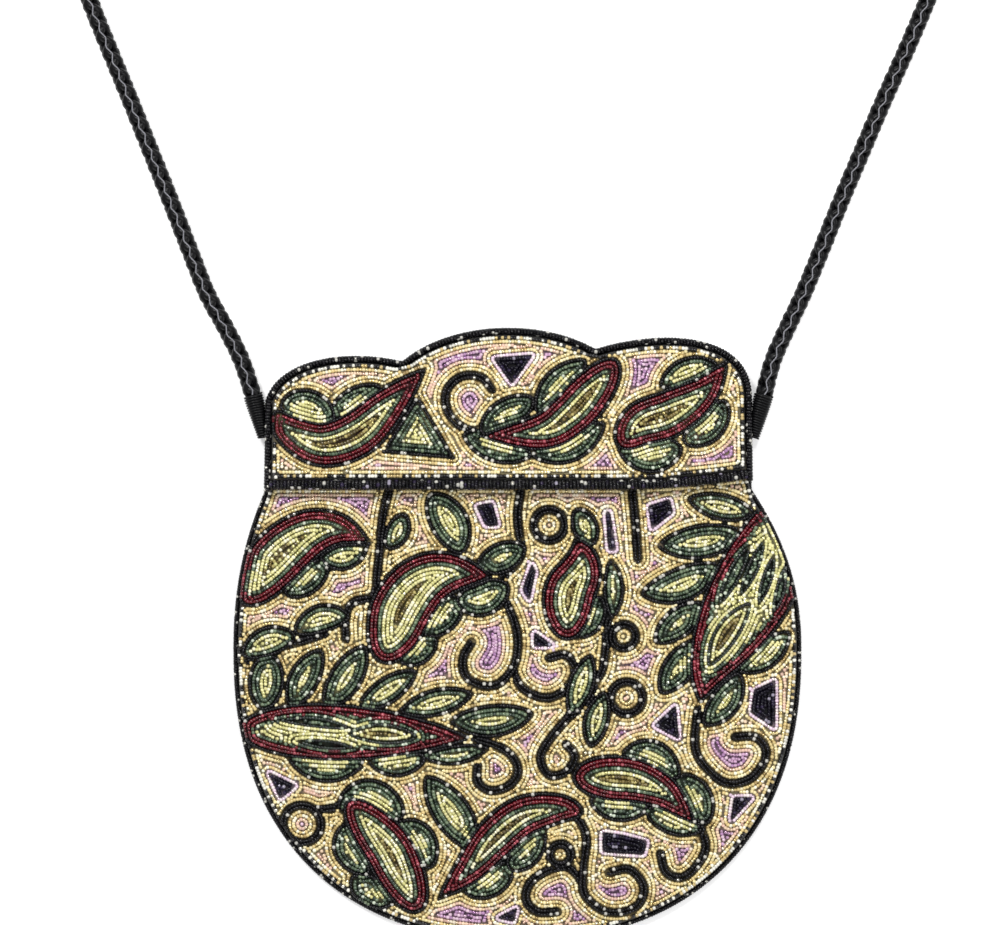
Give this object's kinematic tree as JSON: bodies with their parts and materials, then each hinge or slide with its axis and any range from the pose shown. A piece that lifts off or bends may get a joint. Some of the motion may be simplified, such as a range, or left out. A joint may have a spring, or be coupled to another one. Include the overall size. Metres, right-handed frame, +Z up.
{
  "type": "beaded shoulder bag",
  "caption": "Evening shoulder bag with a scalloped flap, its front covered in couched glass beads in a paisley pattern, on a braided black cord.",
  "frame": {"origin": "Centre of the bag's outline, on the face its back lies on", "axes": "+X across the bag to its right side seen from the front, +Y from the round bottom towards the scalloped flap, +Z up out of the beaded front"},
  "size_m": [0.2961, 0.4242, 0.0179],
  "materials": {
    "satin": "black satin cloth",
    "lining": "thin black satin lining",
    "black_beads": "black glass seed beads",
    "gold_beads": "gold and cream glass seed beads",
    "red_beads": "crimson glass seed beads",
    "green_beads": "green glass seed beads",
    "snap": "nickel-plated press stud",
    "cord": "braided black satin cord"
  },
  "bodies": {
    "root": {"back_panel": "satin", "back_lining": "lining", "front_lining": "lining", "front_panel": "satin", "flap_lining": "lining", "flap_cloth": "satin", "flap_band": "black_beads", "body_border": "black_beads", "flap_roll": "black_beads", "body_beading": "gold_beads", "left_shoulder_red_rows": "red_beads", "left_shoulder_green_core": "green_beads", "left_heart_red_rows": "red_beads", "left_heart_green_core": "green_beads", "long_red_rows": "red_beads", "long_green_core": "green_beads", "lower_right_red_rows": "red_beads", "lower_right_green_core": "green_beads", "right_side_red_rows": "red_beads", "right_side_green_core": "green_beads", "right_heart_red_rows": "red_beads", "right_heart_green_core": "green_beads", "bottom_red_rows": "red_beads", "bottom_green_core": "green_beads", "lower_left_red_rows": "red_beads", "lower_left_green_core": "green_beads", "flap_beading": "gold_beads", "flap_left_red_rows": "red_beads", "flap_left_green_core": "green_beads", "flap_middle_red_rows": "red_beads", "flap_middle_green_core": "green_beads", "flap_right_red_rows": "red_beads", "flap_right_green_core": "green_beads", "snap_socket": "snap", "snap_stud": "snap", "cord_end_left": "cord", "cord_left": "cord", "cord_end_right": "cord", "cord_right": "cord", "cord_coil": "cord", "coil_tie": "cord"}
  },
  "joints": []
}
